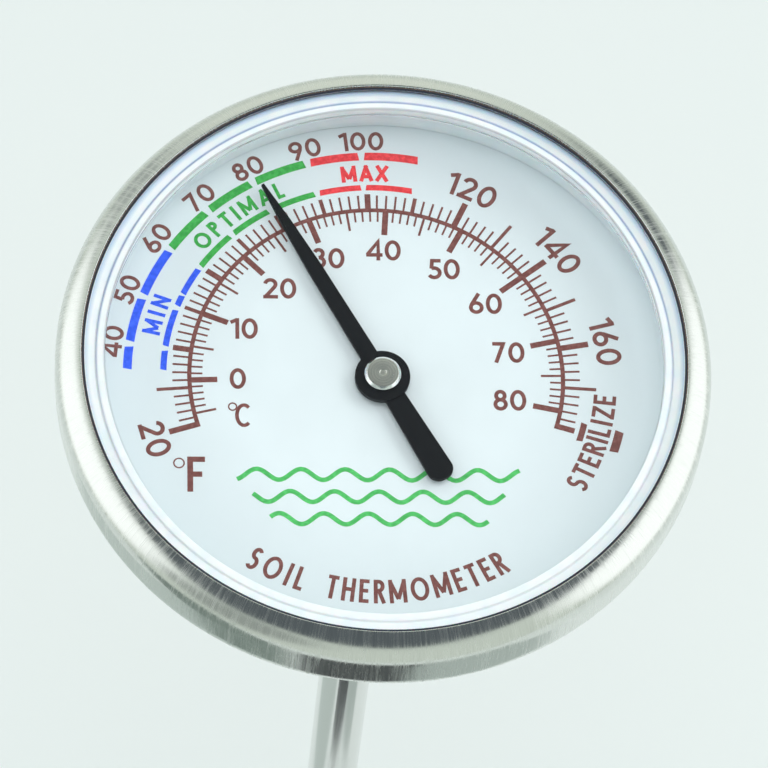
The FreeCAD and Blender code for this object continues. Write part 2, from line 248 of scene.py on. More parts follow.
def ink(name, colour):
    """Screen-printed ink: slightly uneven in depth and gloss."""
    graph = Graph(name)
    where = graph.place_mm()
    cover = graph.noise(where, 3.5, 3.0, 0.6)
    thin = tuple(min(1.0, 1.35 * channel + 0.02) for channel in colour[:3]) + (1.0,)
    graph.principled(Base_Color=graph.blend(graph.span(cover, 0.35, 0.6), thin, colour),
                     Roughness=graph.span(cover, 0.3, 0.7, 0.42, 0.55), Normal=graph.bump(cover, 0.002))
    return graph.material


def black_enamel(name):
    """Pointer's satin black, a little dusty."""
    graph = Graph(name)
    where = graph.place_mm()
    dust = graph.noise(where, 5.0, 4.0, 0.7)
    grain = graph.noise(where, 18.0, 2.0)
    graph.principled(Base_Color=graph.blend(graph.span(dust, 0.62, 0.8), rgb(12, 12, 15), rgb(30, 30, 33)),
                     Roughness=graph.span(grain, 0.3, 0.7, 0.5, 0.62), Normal=graph.bump(grain, 0.002),
                     Specular_IOR_Level=0.25)
    return graph.material


def turned_metal(name, colour, pitch=0.19, depth=0.0012, polished=None):
    """Lathe-turned metal: fine rings about the axis. Beyond the radius polished, in mm, it shines instead."""
    gloss = 0.3
    graph = Graph(name)
    x, y, distance, height = graph.polar()
    drift = graph.noise(graph.vector(x, y, height), 1.4, 2.0)
    across = graph.math("ADD", distance, graph.math("MULTIPLY", drift, 0.02))
    rings = graph.math("SINE", graph.math("MULTIPLY", across, math.tau / pitch))
    rings = graph.math("MULTIPLY", graph.math("ADD", rings, 1.0), 0.5)
    mottle = graph.noise(graph.place_mm(), 1.8, 3.0)
    tone = graph.blend(graph.span(mottle, 0.35, 0.65), shade(colour, 0.9), colour)
    roughness = graph.span(mottle, 0.3, 0.7, gloss - 0.03, gloss + 0.05)
    if polished is not None:
        shine = graph.span(distance, polished, polished + 0.02)
        tone = graph.blend(shine, tone, rgb(246, 245, 242))
        roughness = graph.math("SUBTRACT", roughness, graph.math("MULTIPLY", shine, gloss - 0.1))
        rings = graph.math("MULTIPLY", rings, graph.math("SUBTRACT", 1.0, shine))
    # Painted shade: each turning ring is darkened in step with its relief, patchily, for the shade the rings
    # would show.
    wear_and_groove_shade = graph.math("MULTIPLY", rings, graph.span(mottle, 0.35, 0.65, 0.1, 0.5))
    tone = graph.blend(wear_and_groove_shade, tone, shade(colour, 0.55))
    graph.principled(Base_Color=tone, Metallic=1.0, Roughness=roughness, Normal=graph.bump(rings, depth))
    return graph.material


def clear_window(name):
    """Clear moulded plastic that lets lamps through, so that the dial behind it is lit.

    Painted reflection: blue and grey lines on its top, at the groove and along the edge of the field, stand
    in for what the bevels there reflect and refract, and fade towards the foot.
    """
    graph = Graph(name)
    haze = graph.noise(graph.place_mm(), 0.3, 3.0)
    _, y, distance, height = graph.polar()
    # Painted reflection: tinted lines in place of what the bevels reflect and refract, faint towards six
    # o'clock.
    top = graph.span(height, FACE + 4.4, FACE + 4.5)
    painted_line_strength = graph.math("MULTIPLY", top, graph.span(y, -0.6, 0.3, 0.03, 1.0))
    tone = (0.975, 0.993, 1.0, 1.0)
    groove_painted_line = (0.2, 0.28, 0.56, 1.0)
    field_painted_line = (0.34, 0.33, 0.36, 1.0)
    for radius, painted_tint in ((GROOVE, groove_painted_line), (FIELD, field_painted_line)):
        away = graph.math("ABSOLUTE", graph.math("SUBTRACT", distance, radius))
        line = graph.span(away, 0.13, 0.03)
        tone = graph.blend(graph.math("MULTIPLY", painted_line_strength, line), tone, painted_tint)
    glass = graph.principled(Base_Color=tone, Transmission_Weight=1.0, IOR=1.49,
                             Roughness=graph.span(haze, 0.5, 0.9, 0.0, 0.02))
    clear = graph.add("ShaderNodeBsdfTransparent")
    rays = graph.add("ShaderNodeLightPath").outputs
    passed = graph.math("MAXIMUM", rays["Is Shadow Ray"], rays["Is Diffuse Ray"])
    choice = graph.add("ShaderNodeMixShader")
    graph.feed(choice.inputs[0], passed)
    graph.feed(choice.inputs[1], glass.outputs[0])
    graph.feed(choice.inputs[2], clear.outputs[0])
    graph.feed(graph.output.inputs["Surface"], choice.outputs[0])
    return graph.material


def milky_plastic(name):
    """The window's skirt as a white stand-in: painted light for what its clear depth gathers, pale blue at
    its edge.
    """
    graph = Graph(name)
    cloud = graph.noise(graph.place_mm(), 0.6, 2.0)
    _, _, distance, _ = graph.polar()
    # Painted light: near white, as the clear skirt looks where it gathers light.
    white = graph.blend(graph.span(cloud, 0.35, 0.65), rgb(238, 247, 252), rgb(248, 252, 254))
    edge = graph.span(distance, 20.75, 20.95)
    graph.principled(Base_Color=graph.blend(edge, white, rgb(205, 226, 248)),
                     Roughness=graph.span(cloud, 0.3, 0.7, 0.55, 0.65), Subsurface_Weight=0.25,
                     Subsurface_Scale=0.4 * MM)
    return graph.material


def soft_plastic(name, colour):
    """Rubber or moulded plastic with a fine grain."""
    graph = Graph(name)
    where = graph.place_mm()
    grain = graph.noise(where, 9.0, 3.0)
    patch = graph.noise(where, 0.8, 2.0)
    tone = graph.blend(graph.span(patch, 0.35, 0.65), shade(colour, 0.8), colour)
    graph.principled(Base_Color=tone,
                     Roughness=graph.span(grain, 0.3, 0.7, 0.52, 0.68), Normal=graph.bump(grain, 0.004))
    return graph.material


def sealant(name):
    """Dark, turning brown right next to the lip's edge."""
    graph = Graph(name)
    grain = graph.noise(graph.place_mm(), 6.0, 3.0)
    _, _, distance, _ = graph.polar()
    thin = graph.span(distance, LIP - 0.1, LIP - 0.01)
    graph.principled(Base_Color=graph.blend(thin, rgb(40, 45, 58), rgb(148, 120, 90)),
                     Roughness=graph.span(grain, 0.3, 0.7, 0.45, 0.6), Normal=graph.bump(grain, 0.003))
    return graph.material


def backdrop(name, colour):
    """Plain pale paper."""
    graph = Graph(name)
    tooth = graph.noise(graph.place, 700.0, 2.0)
    graph.principled(Base_Color=colour, Roughness=0.85, Normal=graph.bump(tooth, 0.02))
    return graph.material


# ---------------------------------------------------------------- turned pieces

def arc_points(centre, radius, start, end, step=4.0):
    """Points on an arc, from one angle to another in degrees, anticlockwise from +x."""
    count = max(2, math.ceil(abs(end - start) / step))
    turns = [math.radians(start + (end - start) * index / count) for index in range(count + 1)]
    return [(centre[0] + radius * math.cos(turn), centre[1] + radius * math.sin(turn)) for turn in turns]


def rounded(corners):
    """An outline with each corner (x, y, radius) rounded by an arc; radius 0 leaves the corner sharp."""
    points = []
    count = len(corners)
    for index, (x, y, radius) in enumerate(corners):
        here = Vector((x, y))
        if radius == 0:
            points.append((x, y))
            continue
        before = (Vector(corners[index - 1][:2]) - here).normalized()
        after = (Vector(corners[(index + 1) % count][:2]) - here).normalized()
        half = before.angle(after) / 2
        centre = here + (before + after).normalized() * (radius / math.sin(half))
        first = here + before * (radius / math.tan(half)) - centre
        last = here + after * (radius / math.tan(half)) - centre
        start = math.degrees(math.atan2(first.y, first.x))
        sweep = (math.degrees(math.atan2(last.y, last.x)) - start + 180) % 360 - 180
        points += arc_points(centre, radius, start, start + sweep, step=15.0)
    return points


def new_piece(name, verts, faces, material, smooth=False):
    """A mesh object from points in millimetres."""
    mesh = bpy.data.meshes.new(name)
    mesh.from_pydata([[c * MM for c in vert] for vert in verts], [], faces)
    mesh.validate()
    mesh.polygons.foreach_set("use_smooth", [smooth] * len(mesh.polygons))
    mesh.materials.append(material)
    mesh.update()
    piece = bpy.data.objects.new(name, mesh)
    bpy.context.scene.collection.objects.link(piece)
    return piece


def lathe(name, outline, material, segments=288, sharp=38.0):
    """Turn a closed outline of (radius, height), anticlockwise, about Z. Points on the axis are shared."""
    verts, rings = [], []
    for radius, height in outline:
        if radius < 1e-6:
            rings.append([len(verts)] * segments)
            verts.append((0.0, 0.0, height))
            continue
        rings.append(list(range(len(verts), len(verts) + segments)))
        turns = [math.tau * index / segments for index in range(segments)]
        verts += [(radius * math.cos(turn), radius * math.sin(turn), height) for turn in turns]
    faces = []
    for here, there in zip(rings, rings[1:] + rings[:1]):
        for index in range(segments):
            following = (index + 1) % segments
            corners = [here[index], here[following], there[following], there[index]]
            face = list(dict.fromkeys(corners))
            if len(face) > 2:
                faces.append(face)
    piece = new_piece(name, verts, faces, material, smooth=True)
    piece.data.set_sharp_from_angle(angle=math.radians(sharp))
    return piece


def sheet_end(centre, outer, inner, angle, corner, way):
    """Rounded end of a rolled sheet that follows an arc: points from its outer to its inner face.

    angle is where the end's flat lies, and way is 1 where the sheet ends going anticlockwise.
    """
    points = []
    steps = 4
    for middle, start in ((outer - corner, 0), (inner + corner, 90)):
        for index in range(steps + 1):
            turn = math.radians(start + 90 * index / steps)
            radius = middle + corner * math.cos(turn)
            slide = corner * (math.sin(turn) - 1) / radius
            place = math.radians(angle) + way * slide
            points.append((centre[0] + radius * math.cos(place), centre[1] + radius * math.sin(place)))
    return points


SHEET = 0.5                     # stainless sheet of the ring
LIP_BEND = 2.3                  # outside radii of its rolled edges
HEEL_BEND = 3.1
EDGE = 0.07                     # rounding of the sheet's cut edges
HEM_START = -87                 # where the hem's bend starts, in degrees; its cut end is at -90


def make_bezel(material):
    """Rolled ring: lip, wall and the hem under the head."""
    reach = LIP - (RIM - LIP_BEND)
    top = (RIM - LIP_BEND, RING_HIGH.z - math.sqrt(LIP_BEND ** 2 - reach ** 2))
    low = (RIM - HEEL_BEND, BACK + HEEL_BEND)
    end = math.degrees(math.acos(reach / LIP_BEND))
    outline = arc_points(low, HEEL_BEND, HEM_START, 0)
    outline += arc_points(top, LIP_BEND, 0, end - 4)
    outline += sheet_end(top, LIP_BEND, LIP_BEND - SHEET, end, EDGE, 1)
    outline += arc_points(top, LIP_BEND - SHEET, end - 5, 0)
    outline += arc_points(low, HEEL_BEND - SHEET, 0, HEM_START)
    outline += list(reversed(sheet_end(low, HEEL_BEND, HEEL_BEND - SHEET, -90, EDGE, -1)))
    piece = lathe("bezel", outline, material)
    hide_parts("bezel_ring")
    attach(piece, "head")
    return piece


SHOULDER = FACE + 5.12          # top of the window's shoulder, nearly level with the lip
FIELD_TOP = FACE + 4.82         # upper and lower side of the window's flat field
FIELD_FOOT = FACE + 3.3
SKIRT_EDGE = 21.4               # outside radius of the window's skirt


def make_window(material):
    """Moulded window: flat field, shallow groove, shoulder inside the lip, flange, and skirt to the dial."""
    low, high = millimetres("crystal")
    edge = high.x
    flange = BACK + 5.7
    corners = [
        (0.0, FIELD_FOOT, 0),
        (19.6, FIELD_FOOT, 0.12),
        (20.5, low.z, 0.08),
        (SKIRT_EDGE, low.z, 0.15),
        (SKIRT_EDGE, flange, 0.08),
        (edge, flange, 0.06),
        (edge, flange + 0.16, 0.08),
        (edge - 0.85, FACE + 4.8, 0.1),
        (LIP - 0.12, FACE + 4.8, 0.05),
        (LIP - 0.26, SHOULDER, 0.06),
        (20.7, SHOULDER - 0.03, 0.4),
        (20.15, FACE + 4.72, 0.12),
        (19.85, FIELD_TOP, 0.2),
        (0.0, FIELD_TOP, 0),
    ]
    piece = lathe("window", rounded(corners), material, sharp=60.0)
    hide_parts("crystal")
    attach(piece, "head")
    return piece


def make_skirt_core(material):
    """White stand-in just inside the window's clear skin, painted light for what its skirt gathers, with a
    rib under the field's edge.
    """
    corners = [
        (FIELD, FACE + 3.6, 0.1),
        (19.95, FACE + 3.0, 0.1),
        (20.66, FACE + 0.1, 0.08),
        (21.3, FACE + 0.1, 0.08),
        (21.3, FACE + 3.4, 0.0),
        (22.08, FACE + 3.4, 0.05),
        (21.5, FACE + 4.4, 0.15),
        (21.0, FACE + 4.55, 0.2),
        (GROOVE + 0.2, FACE + 4.3, 0.1),
        (GROOVE - 0.02, FACE + 4.6, 0.05),
        (FIELD + 0.02, FACE + 4.66, 0.05),
    ]
    # Painted light: this white piece stands in for the light the clear skirt gathers.
    piece = lathe("skirt_light_standin", rounded(corners), material)
    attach(piece, "head")
    return piece


def make_lip_seal(material):
    """Dark ring that fills the gap between the lip's edge and the window's shoulder."""
    base = FACE + 4.77
    top = SHOULDER + 0.02
    inside, outside = LIP - 0.23, LIP + 0.03
    corners = [(inside, base, 0.0), (outside, base, 0.0), (outside, top, 0.0), (inside, top, 0.02)]
    piece = lathe("lip_gap_ring", rounded(corners), material)
    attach(piece, "head")
    return piece


CAP = 1.29                      # radius of the hub's cap, and width of its bevel
BEVEL = 0.19


def make_hub_cap(material):
    """Turned cap: bevelled edge, a flat face with a tool mark, and a centre pip."""
    low, high = millimetres("pointer_hub")
    bore, shank = 0.4, 0.9
    bore_end = FACE + 1.3
    brim = FACE + 1.0
    corners = [
        (bore, low.z, 0),
        (shank, low.z, 0.05),
        (shank, brim, 0.03),
        (CAP, brim, 0.03),
        (CAP, high.z - 0.17, 0.03),
        (CAP - BEVEL, high.z, 0.03),
        (0.27, high.z, 0.03),
        (0.2, high.z - 0.05, 0.03),
        (0.0, high.z - 0.02, 0),
        (0.0, bore_end, 0),
        (bore, bore_end, 0),
    ]
    piece = lathe("hub_cap", rounded(corners), material, segments=128, sharp=30.0)
    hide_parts("pointer_hub")
    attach(piece, "pointer")
    return piece


# ---------------------------------------------------------------- the print

PRINT_CENTRE = (-0.37, 0.455)   # the print sits a little off the dial's axis
INK = 0.014                     # thickness of the ink
INK_STEP = 0.0012               # what each next stroke stands above the last, so that crossings stay clean


def dial_point(radius, angle):
    """A point of the print, from its centre; the angle runs clockwise from twelve o'clock."""
    turn = math.radians(angle)
    return (radius * math.sin(turn), radius * math.cos(turn))


def ribbon(points, width, closed=False):
    """The left and right edges of a stroke of even width along a line."""
    count = len(points)
    left, right = [], []
    for index, point in enumerate(points):
        here = Vector(point)
        before = Vector(points[index - 1]) if closed or index else None
        after = Vector(points[(index + 1) % count]) if closed or index < count - 1 else None
        ways = [(here - before).normalized()] if before is not None else []
        ways += [(after - here).normalized()] if after is not None else []
        normals = [Vector((-way.y, way.x)) for way in ways]
        side = sum(normals, Vector((0.0, 0.0))).normalized()
        reach = min(1 / max(side.dot(normals[0]), 0.3), 2.4) * width / 2
        left.append(tuple(here + side * reach))
        right.append(tuple(here - side * reach))
    return left, right, closed


def printed(name, ribbons, material, lift=0.0):
    """Ink on the dial: each ribbon is a thin closed slab that stands on the face."""
    verts, faces = [], []
    for layer, (left, right, closed) in enumerate(ribbons):
        count, base = len(left), len(verts)
        for height in (FACE + INK + lift + INK_STEP * (layer % 4), FACE):
            for side in (left, right):
                verts += [(x + PRINT_CENTRE[0], y + PRINT_CENTRE[1], height) for x, y in side]
        for index in range(count if closed else count - 1):
            following = (index + 1) % count
            rows = [base + count * row for row in (0, 1, 3, 2)]
            for one, other in zip(rows, rows[1:] + rows[:1]):
                faces.append((one + index, other + index, other + following, one + following))
        if not closed:
            faces.append([base + count * row for row in (0, 2, 3, 1)])
            faces.append([base + count * row + count - 1 for row in (0, 1, 3, 2)])
    piece = new_piece(name, verts, faces, material)
    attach(piece, "head")
    return piece


def arc_line(radius, start, end, width, trim=0.0):
    """A printed arc; trim shortens its outer edge and lengthens its inner one, in degrees at each end."""
    count = max(2, math.ceil(abs(end - start) / 1.5))
    outer, inner = [], []
    for index in range(count + 1):
        share = index / count
        outer.append(dial_point(radius + width / 2, start + trim + (end - start - 2 * trim) * share))
        inner.append(dial_point(radius - width / 2, start - trim + (end - start + 2 * trim) * share))
    return outer, inner, False


def tick(angle, inner, outer, width):
    return ribbon([dial_point(inner, angle), dial_point(outer, angle)], width)


# Letters are drawn with strokes in a cell one unit high. e is half the stroke's width, so that outer
# edges touch the cell. Each glyph gives its width and its strokes; a stroke is (points, closed).

def ellipse(cx, cy, rx, ry, start, end, count=14):
    turns = [math.radians(start + (end - start) * index / count) for index in range(count + 1)]
    return [(cx + rx * math.cos(turn), cy + ry * math.sin(turn)) for turn in turns]


def ring(cx, cy, rx, ry):
    return ellipse(cx, cy, rx, ry, 0, 360, 28)[:-1], True


def double_bowls(e):
    """Half heights of the upper and lower bowls of 3, 8 and S."""
    height = 1 - 2 * e
    return 0.235 * height, 0.265 * height


def digit_strokes(letter, e):
    """Width and strokes of a digit."""
    upper, lower = double_bowls(e)
    if letter == "0":
        return 0.68, [ring(0.34, 0.5, 0.34 - e, 0.5 - e)]
    if letter == "1":
        return 0.36, [([(0.0, 0.80), (0.36 - e, 0.93)], False), ([(0.36 - e, 0), (0.36 - e, 1)], False)]
    if letter == "2":
        bowl = ellipse(0.31, 0.70, 0.30 - e, 0.30 - e, 172, -38)
        return 0.62, [(bowl + [(1.5 * e, 1.4 * e)], False), ([(0.01, e), (0.62, e)], False)]
    if letter == "3":
        return 0.56, [(ellipse(0.25, 1 - e - upper, 0.26 - e, upper, 155, -90), False),
                      (ellipse(0.26, e + lower, 0.30 - e, lower, 90, -155), False)]
    if letter == "4":
        stem = [(0.52, 0.0), (0.52, 0.93), (0.07, 0.29)]
        return 0.70, [(stem, False), ([(0.02, 0.27), (0.70, 0.27)], False)]
    if letter == "5":
        bowl = ellipse(0.27, 0.32, 0.32 - e, 0.32 - e, 118, -150)
        return 0.58, [([(0.55, 1 - e), (0.19, 1 - e), bowl[0]], False), (bowl, False)]
    if letter == "6":
        stem = [(0.31 - 0.87 * (0.31 - e), 0.45), (0.42, 1.0)]
        return 0.62, [ring(0.31, 0.31, 0.31 - e, 0.31 - e), (stem, False)]
    if letter == "7":
        return 0.56, [([(0.0, 1 - e), (0.53 - e, 1 - e), (0.14, 0.0)], False)]
    if letter == "8":
        return 0.60, [ring(0.30, 1 - e - upper, 0.26 - e, upper), ring(0.30, e + lower, 0.30 - e, lower)]
    stem = [(0.31 + 0.87 * (0.31 - e), 0.55), (0.20, 0.0)]
    return 0.62, [ring(0.31, 0.69, 0.31 - e, 0.31 - e), (stem, False)]


def curved_letter_strokes(letter, e):
    """Width and strokes of O, C, S, P or R."""
    upper, lower = double_bowls(e)
    if letter == "O":
        return 0.90, [ring(0.45, 0.5, 0.45 - e, 0.5 - e)]
    if letter == "C":
        return 0.80, [(ellipse(0.48, 0.5, 0.48 - e, 0.5 - e, 48, 312), False)]
    if letter == "S":
        top = ellipse(0.26, 1 - e - upper, 0.25 - e, upper, 35, 270)
        foot = ellipse(0.26, e + lower, 0.28 - e, lower, 90, -145)
        return 0.54, [(top + foot[1:], False)]
    bowl = [(e, 1 - e), (0.24, 1 - e)]
    bowl += ellipse(0.24, 0.73, 0.27 - e, 0.27 - e, 80, -80)
    bowl += [(0.24, 0.46 + e), (e, 0.46 + e)]
    strokes = [([(e, 0), (e, 1)], False), (bowl, False)]
    if letter == "R":
        strokes.append(([(0.24, 0.46 + e), (0.50, 0.0)], False))
    return 0.52, strokes


# Straight letters in a unit square: width over height, strokes that reach the cell's edge, inner strokes.
STRAIGHT_LETTERS = {
    "A": (0.74, (((0, 0), (0.5, 1)), ((1, 0), (0.5, 1))), (((0.2, 0.24), (0.8, 0.24)),)),
    "E": (0.48, (((1, 1), (0, 1), (0, 0), (1, 0)),), (((0, 0.52), (1.1, 0.52)),)),
    "F": (0.46, (((1, 1), (0, 1), (0, 0)),), (((0, 0.5), (1, 0.5)),)),
    "H": (0.62, (((0, 0), (0, 1)), ((1, 0), (1, 1))), (((0, 0.52), (1, 0.52)),)),
    "I": (0.19, (((0.5, 0), (0.5, 1)),), ()),
    "L": (0.43, (((0, 1), (0, 0), (1, 0)),), ()),
    "M": (0.86, (((0, 0), (0, 1)), ((1, 0), (1, 1))), (((0, 1), (0.5, 0.1)), ((0.5, 0.1), (1, 1)))),
    "N": (0.68, (((0, 0), (0, 1)), ((1, 0), (1, 1))), (((0, 1), (1, 0)),)),
    "T": (0.54, (((0, 1), (1, 1)), ((0.5, 0), (0.5, 1))), ()),
    "X": (0.68, (((0, 0), (1, 1)), ((0, 1), (1, 0))), ()),
    "Z": (0.58, (((0, 1), (1, 1)), ((0, 0), (1, 0))), (((1, 1), (0, 0)),)),
}


def straight_letter_strokes(letter, e):
    """Strokes set in by e, the outer ones run on by e at their ends."""
    width, outer, inner = STRAIGHT_LETTERS[letter]
    strokes = []
    for line in outer + inner:
        points = [Vector((e + x * (width - 2 * e), e + y * (1 - 2 * e))) for x, y in line]
        if line in outer:
            points[0] += e * (points[0] - points[1]).normalized()
            points[-1] += e * (points[-1] - points[-2]).normalized()
        strokes.append(([tuple(point) for point in points], False))
    return width, strokes


def glyph(letter, e):
    """A glyph's width and strokes."""
    if letter.isdigit():
        return digit_strokes(letter, e)
    if letter in STRAIGHT_LETTERS:
        return straight_letter_strokes(letter, e)
    return curved_letter_strokes(letter, e)


def letter_widths(text, style):
    return [glyph(letter, style.weight / 2)[0] * style.narrow for letter in text]


def set_glyph(letter, style, place):
    """A glyph's strokes as ribbons; place turns a point of the cell into one of the dial."""
    _, strokes = glyph(letter, style.weight / 2)
    ribbons = []
    for points, closed in strokes:
        points = [(x * style.narrow, y) for x, y in points]
        left, right, _ = ribbon(points, style.weight, closed)
        ribbons.append(([place(*point) for point in left], [place(*point) for point in right], closed))
    return ribbons


def set_line(text, centre, style):
    """An upright word about a centre."""
    widths = letter_widths(text, style)
    start = -(sum(widths) + style.gap * (len(text) - 1)) / 2
    ribbons = []
    for letter, width in zip(text, widths):

        def place(u, v, start=start):
            return (centre[0] + (start + u) * style.height, centre[1] + (v - 0.5) * style.height)

        ribbons += set_glyph(letter, style, place)
        start += width + style.gap
    return ribbons


def set_arc(text, radius, middle, style, inward=False, span=None):
    """A word along an arc, about the angle middle; radius runs through the middle of the letters.

    inward turns the letters' tops to the centre. span, in degrees, spreads the word over an angle.
    """
    widths = letter_widths(text, style)
    gap = style.gap
    if span is not None:
        gap = (math.radians(span) * radius / style.height - sum(widths)) / (len(text) - 1)
    way = -1 if inward else 1
    start = -(sum(widths) + gap * (len(text) - 1)) / 2
    ribbons = []
    for letter, width in zip(text, widths):
        angle = middle + way * math.degrees((start + width / 2) * style.height / radius)
        turn = math.radians(angle)
        origin = dial_point(radius, angle)
        along = (way * math.cos(turn), -way * math.sin(turn))
        up = (way * math.sin(turn), way * math.cos(turn))

        def place(u, v, origin=origin, along=along, up=up, half=width / 2):
            across, rise = (u - half) * style.height, (v - 0.5) * style.height
            return tuple(origin[axis] + along[axis] * across + up[axis] * rise for axis in (0, 1))

        ribbons += set_glyph(letter, style, place)
        start += width + gap
    return ribbons


ARC = 13.2                      # radius of the scale's line
LINE_WIDTH = 0.3
LINE_END = 0.9                  # degrees the line runs on at its ends, to the far side of the last ticks
FAHRENHEIT = (20, 180)          # ends of the scale
CELSIUS = (-5, 80)


def scale_angle(fahrenheit):
    """Angle of a temperature; a bimetal coil turns a little unevenly."""
    u = (fahrenheit - 100) / 80
    return -1.54 + 108.85 * u + 1.46 * u ** 2 - 1.91 * u ** 3


def from_celsius(celsius):
    return celsius * 1.8 + 32


def fahrenheit_tick(value):
    """Outer radius and width of a tick outside the line."""
    if value % 10:
        return 14.4, 0.145
    if value in (20, 120, 140, 160):
        return 15.3, 0.43
    if value in (30, 130, 150, 170):
        return 15.55, 0.24
    if value == 180:
        return 14.5, 0.42
    return (14.5, 0.42) if value % 20 == 0 else (14.5, 0.28)


def celsius_tick(value):
    """Inner radius and width of a tick inside the line."""
    if value % 5:
        return 12.28, 0.135
    return (11.24, 0.42) if value % 10 == 0 else (11.64, 0.17)


def make_scales(brown):
    """The line with its ticks: Fahrenheit outwards, Celsius inwards."""
    start, end = (scale_angle(value) for value in FAHRENHEIT)
    line = [arc_line(ARC, start - LINE_END, end + LINE_END, LINE_WIDTH)]
    outward = []
    for value in range(FAHRENHEIT[0], FAHRENHEIT[1] + 1, 2):
        reach, width = fahrenheit_tick(value)
        outward.append(tick(scale_angle(value), ARC, reach, width))
    inward = []
    for value in range(CELSIUS[0], CELSIUS[1] + 1):
        reach, width = celsius_tick(value)
        inward.append(tick(scale_angle(from_celsius(value)), reach, ARC, width))
    printed("scale_line", line, brown, lift=5 * INK_STEP)
    printed("fahrenheit_ticks", outward, brown)
    printed("celsius_ticks", inward, brown)


# Type: height in millimetres, then stroke, gap and narrowing over the height.
Style = namedtuple("Style", "height weight gap narrow", defaults=(0.17, 0.15, 1.0))
SMALL = Style(1.5, 0.175, gap=0.1, narrow=1.12)
LARGE = Style(1.82, 0.165, gap=0.13, narrow=1.05)
CELSIUS_STYLE = Style(1.62, 0.17, gap=0.09, narrow=1.06)
# Where the printer set the Fahrenheit numerals: middle radius, and turn from the tick in degrees.
FAHRENHEIT_PLACE = {40: (18.82, -0.6), 50: (18.81, -0.64), 60: (18.89, 0.26), 70: (18.81, 0.81),
                    80: (18.78, 0.22), 90: (18.76, 0.21), 100: (18.82, -0.69), 120: (16.53, -0.08),
                    140: (16.6, -0.32), 160: (16.6, 0.14)}
# And the Celsius ones, which stand upright: right of the print's centre, and above it.
CELSIUS_PLACE = {0: (-9.79, -0.28), 10: (-9.3, 3.66), 20: (-6.76, 6.87), 30: (-3.24, 9.31),
                 40: (0.67, 9.98), 50: (4.96, 8.51), 60: (7.86, 5.78), 70: (9.4, 1.93),
                 80: (9.38, -1.83)}


def make_numerals(brown):
    """Both scales' numerals. The Fahrenheit scale's first one is read from the dial's centre."""
    outer = set_arc("20", 16.4, scale_angle(20) - 0.85, LARGE, inward=True)
    for value, (radius, turn) in FAHRENHEIT_PLACE.items():
        style = SMALL if value <= 100 else LARGE
        outer += set_arc(str(value), radius, scale_angle(value) + turn, style)
    inner = []
    for value, centre in CELSIUS_PLACE.items():
        inner += set_line(str(value), centre, CELSIUS_STYLE)
    printed("fahrenheit_numerals", outer, brown)
    printed("celsius_numerals", inner, brown)


def make_units(brown):
    """The two degree signs with their letters."""
    units = set_line("C", (-9.47, -3.14), Style(1.85, 0.14, narrow=0.66))
    units += set_line("F", (-12.75, -7.73), Style(2.7, 0.15))
    for x, y, radius in ((-10.17, -2.48, 0.28), (-13.95, -6.88, 0.36)):
        units.append(ribbon(ring(x, y, radius, radius)[0], 0.1, True))
    printed("units", units, brown)


ZONE_OUTER = (17.57, 0.62)      # middle radius and width of the outer bars
ZONE_INNER = (15.03, 0.44)
BAR_TRIM = 0.16                 # degrees each bar's ends slope by
ZONE_TYPE = Style(1.3, 0.195)


def zone_bars(outer, inner=None):
    """Bars over spans of angles; the inner ones follow the outer ones unless they are given."""
    ribbons = []
    for (radius, width), spans in ((ZONE_OUTER, outer), (ZONE_INNER, inner or outer)):
        for start, end in spans:
            ribbons.append(arc_line(radius, start, end, width, BAR_TRIM))
    return ribbons


def make_zones(blue, green, red, brown):
    """Coloured bars with their words between them."""
    low = zone_bars(((-88.6, -82.9), (-81.4, -70.3), (-68.8, -56.4)),
                    ((-88.6, -82.9), (-81.4, -70.3), (-68.8, -65.6), (-64.9, -56.4)))
    middle = zone_bars(((-55.1, -43.1), (-41.5, -30.0), (-28.4, -16.1)))
    high = zone_bars(((-14.6, -3.2), (-1.8, 10.8)))
    hot = zone_bars(((103.9, 109.3),))
    low += set_arc("MIN", 16.23, -73.2, ZONE_TYPE, span=10.9)
    middle += set_arc("OPTIMAL", 16.2, -37.3, ZONE_TYPE, span=27.3)
    high += set_arc("MAX", 16.2, -2.0, ZONE_TYPE._replace(weight=0.22), span=12.0)
    hot += set_arc("STERILIZE", 16.2, 108.5, Style(1.6, 0.165, narrow=0.9), inward=True, span=27.0)
    printed("zone_min", low, blue)
    printed("zone_optimal", middle, green)
    printed("zone_max", high, red)
    printed("zone_sterilize", hot, brown)


def make_title(brown):
    """The plain words at the foot of the dial."""
    ribbons = []
    for word, middle, span in (("SOIL", 205.7, 14.3), ("THERMOMETER", 170.95, 44.0)):
        ribbons += set_arc(word, 16.62, middle, Style(1.78, 0.155, narrow=0.76), inward=True, span=span)
    printed("title", ribbons, brown)


def make_emblem(green):
    """A plain mark of ploughed soil: rows of waves."""
    swell, length, width = 0.42, 3.1, 0.34
    count = 84
    ribbons = []
    for row, (reach, height) in enumerate(((9.9, -7.7), (8.8, -9.4), (7.6, -11.1))):
        points = []
        for index in range(count + 1):
            x = reach * (2 * index / count - 1)
            points.append((x, height + swell * math.sin(math.tau * x / length + row * math.pi / 2)))
        ribbons.append(ribbon(points, width))
    printed("soil_emblem", ribbons, green)


# ---------------------------------------------------------------- studio

def make_floor(material):
    """A sheet of paper, with a hair's gap under the lowest piece."""
    half, gap = 0.3, 0.0002
    corners = [(-half, -half, 0), (half, -half, 0), (half, half, 0), (-half, half, 0)]
    mesh = bpy.data.meshes.new("floor")
    mesh.from_pydata(corners, [], [(0, 1, 2, 3)])
    mesh.materials.append(material)
    floor = bpy.data.objects.new("floor", mesh)
    floor.location.z = CAD_BOX[0].z - gap
    bpy.context.scene.collection.objects.link(floor)


